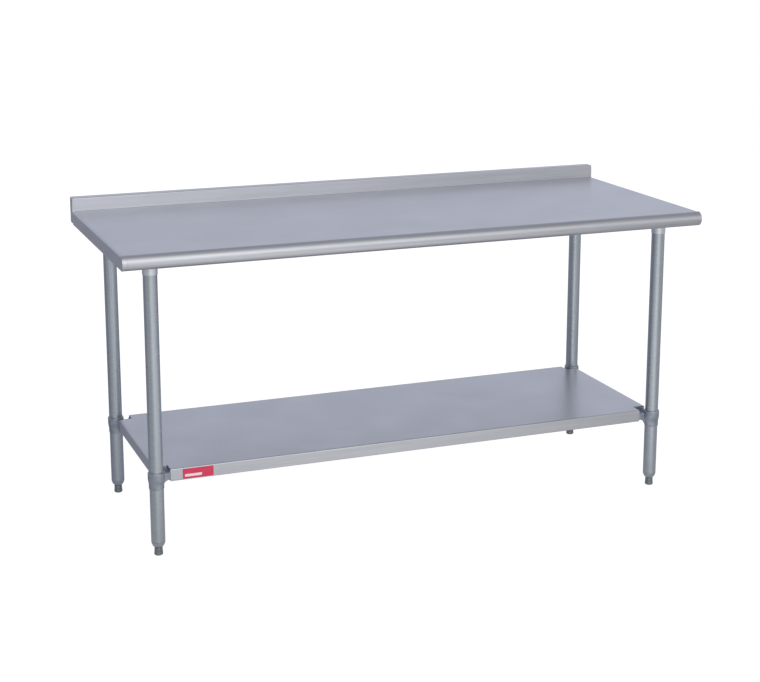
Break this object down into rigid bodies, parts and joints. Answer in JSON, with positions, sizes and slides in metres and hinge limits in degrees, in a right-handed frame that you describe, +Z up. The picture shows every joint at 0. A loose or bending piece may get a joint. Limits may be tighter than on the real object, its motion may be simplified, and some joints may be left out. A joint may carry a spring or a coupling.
{
  "type": "stainless work table",
  "caption": "Free-standing stainless work table with a rear riser, a rolled front rim, tubular legs on adjustable feet and a height-adjustable undershelf.",
  "frame": {"origin": "on the floor under the middle of the top", "axes": "+X along the length to the right, -Y towards the person working at the table, +Z up"},
  "size_m": [1.8289, 0.7621, 0.9558],
  "materials": {
    "brushed_stainless": "brushed along the length",
    "polished_tube": "brushed round the tube",
    "stainless_fittings": "satin",
    "cast_collars": "as cast, tumbled",
    "foot_metal": "turned",
    "galvanised_steel": "galvanised",
    "zinc_fasteners": "zinc plated",
    "deadening_mastic": "matt",
    "label_vinyl": "satin, plain"
  },
  "bodies": {
    "table_frame": {"channel_nut_1": "zinc_fasteners", "channel_nut_2": "zinc_fasteners", "channel_nut_3": "zinc_fasteners", "channel_nut_4": "zinc_fasteners", "channel_nut_5": "zinc_fasteners", "channel_nut_6": "zinc_fasteners", "leg_front_left": "polished_tube", "leg_front_right": "polished_tube", "leg_insert_front_left": "stainless_fittings", "leg_insert_front_right": "stainless_fittings", "leg_insert_rear_left": "stainless_fittings", "leg_insert_rear_right": "stainless_fittings", "leg_rear_left": "polished_tube", "leg_rear_right": "polished_tube", "leg_socket_front_left": "stainless_fittings", "leg_socket_front_right": "stainless_fittings", "leg_socket_rear_left": "stainless_fittings", "leg_socket_rear_right": "stainless_fittings", "rim_end_cap_left": "brushed_stainless", "rim_end_cap_right": "brushed_stainless", "riser_end_cap_left": "brushed_stainless", "riser_end_cap_right": "brushed_stainless", "socket_set_screw_front_left": "zinc_fasteners", "socket_set_screw_front_right": "zinc_fasteners", "socket_set_screw_rear_left": "zinc_fasteners", "socket_set_screw_rear_right": "zinc_fasteners", "sound_deadening_pad_centre": "deadening_mastic", "sound_deadening_pad_left": "deadening_mastic", "sound_deadening_pad_right": "deadening_mastic", "top_channel_centre": "galvanised_steel", "top_channel_left": "galvanised_steel", "top_channel_right": "galvanised_steel", "weld_stud_1": "zinc_fasteners", "weld_stud_2": "zinc_fasteners", "weld_stud_3": "zinc_fasteners", "weld_stud_4": "zinc_fasteners", "weld_stud_5": "zinc_fasteners", "weld_stud_6": "zinc_fasteners", "worktop": "brushed_stainless"},
    "adjustable_shelf": {"undershelf": "brushed_stainless", "shelf_stiffener": "galvanised_steel", "shelf_label": "label_vinyl", "shelf_collar_front_left": "cast_collars", "shelf_collar_front_right": "cast_collars", "shelf_collar_rear_right": "cast_collars", "shelf_collar_rear_left": "cast_collars", "collar_set_screw_front_left": "zinc_fasteners", "collar_set_screw_front_right": "zinc_fasteners", "collar_set_screw_rear_right": "zinc_fasteners", "collar_set_screw_rear_left": "zinc_fasteners"},
    "front_left_foot": {"foot_front_left": "foot_metal", "foot_stem_front_left": "zinc_fasteners"},
    "front_right_foot": {"foot_front_right": "foot_metal", "foot_stem_front_right": "zinc_fasteners"},
    "rear_right_foot": {"foot_rear_right": "foot_metal", "foot_stem_rear_right": "zinc_fasteners"},
    "rear_left_foot": {"foot_rear_left": "foot_metal", "foot_stem_rear_left": "zinc_fasteners"}
  },
  "joints": [
    {"name": "shelf_height", "type": "slide", "parent": "table_frame", "child": "adjustable_shelf", "axis": [0, 0, 1], "range_m": [-0.14, 0.55]},
    {"name": "front_left_foot_travel", "type": "slide", "parent": "table_frame", "child": "front_left_foot", "axis": [0, 0, -1], "range_m": [0, 0.025]},
    {"name": "front_right_foot_travel", "type": "slide", "parent": "table_frame", "child": "front_right_foot", "axis": [0, 0, -1], "range_m": [0, 0.025]},
    {"name": "rear_right_foot_travel", "type": "slide", "parent": "table_frame", "child": "rear_right_foot", "axis": [0, 0, -1], "range_m": [0, 0.025]},
    {"name": "rear_left_foot_travel", "type": "slide", "parent": "table_frame", "child": "rear_left_foot", "axis": [0, 0, -1], "range_m": [0, 0.025]}
  ]
}
